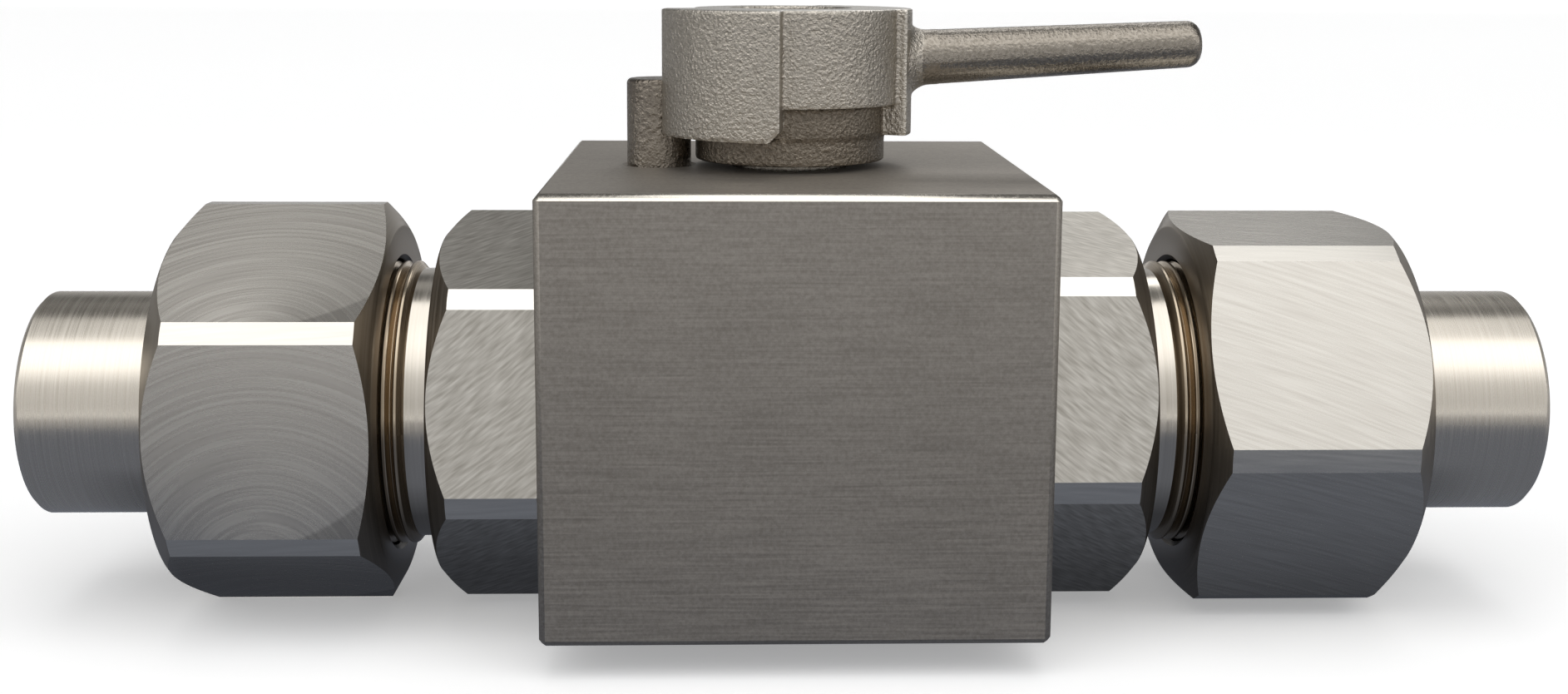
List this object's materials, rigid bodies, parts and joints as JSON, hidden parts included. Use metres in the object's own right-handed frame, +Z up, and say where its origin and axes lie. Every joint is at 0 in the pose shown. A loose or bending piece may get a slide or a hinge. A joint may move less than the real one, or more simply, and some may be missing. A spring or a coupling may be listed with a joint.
{
  "type": "block ball valve",
  "caption": "Square-block ball valve with a cast quarter-turn lever, a stop pin and union nuts holding weld nipples on both sides.",
  "frame": {"origin": "centre of the block's base face, under the stem", "axes": "+X along the pipe, towards the tip of the lever when the valve is open; +Z up the stem; -Y is the valve's plain front face"},
  "size_m": [0.1868, 0.062, 0.0755],
  "materials": {
    "block_steel": "pickled stainless steel, satin, with fine scratches along the pipe",
    "milled_steel": "stainless steel with milling arcs on the flats",
    "turned_steel": "turned stainless steel with fine tool rings",
    "cast_steel": "investment-cast stainless steel, fine pebbled skin",
    "ball_steel": "ground and polished stainless steel",
    "seat_plastic": "natural acetal, machined",
    "seal_rubber": "black nitrile rubber",
    "spring_steel": "spring steel, dark satin"
  },
  "bodies": {
    "valve": {"valve_body": "block_steel", "stop_pin": "cast_steel", "end_adapter_left": "milled_steel", "end_adapter_right": "milled_steel", "adapter_oring_left": "seal_rubber", "adapter_oring_right": "seal_rubber", "ball_seat_left": "seat_plastic", "ball_seat_right": "seat_plastic", "seat_oring_left": "seal_rubber", "seat_oring_right": "seal_rubber", "weld_nipple_left": "turned_steel", "weld_nipple_right": "turned_steel", "nipple_oring_left": "seal_rubber", "nipple_oring_right": "seal_rubber"},
    "handle": {"lever_handle": "cast_steel", "stem": "turned_steel", "stem_thrust_washer": "seat_plastic", "stem_oring_lower": "seal_rubber", "stem_oring_upper": "seal_rubber", "stem_backup_ring": "seat_plastic", "handle_washer": "spring_steel", "handle_retaining_ring": "spring_steel"},
    "ball": {"ball": "ball_steel"},
    "nut_left": {"union_nut_left": "milled_steel"},
    "nut_right": {"union_nut_right": "milled_steel"}
  },
  "joints": [
    {"name": "lever_turn", "type": "hinge", "parent": "valve", "child": "handle", "pos_m": [0, 0, 0.0518], "axis": [0, 0, 1], "range_deg": [0, 90]},
    {"name": "ball_turn", "type": "hinge", "parent": "valve", "child": "ball", "pos_m": [0, 0, 0.0213], "axis": [0, 0, 1], "range_deg": [0, 90]},
    {"name": "nut_left_turn", "type": "hinge", "parent": "valve", "child": "nut_left", "pos_m": [-0.0624, 0, 0.0213], "axis": [1, 0, 0], "continuous": true},
    {"name": "nut_right_turn", "type": "hinge", "parent": "valve", "child": "nut_right", "pos_m": [0.0624, 0, 0.0213], "axis": [1, 0, 0], "continuous": true}
  ],
  "couplings": [
    {"joint": "ball_turn", "follows": "lever_turn", "ratio": 1}
  ]
}
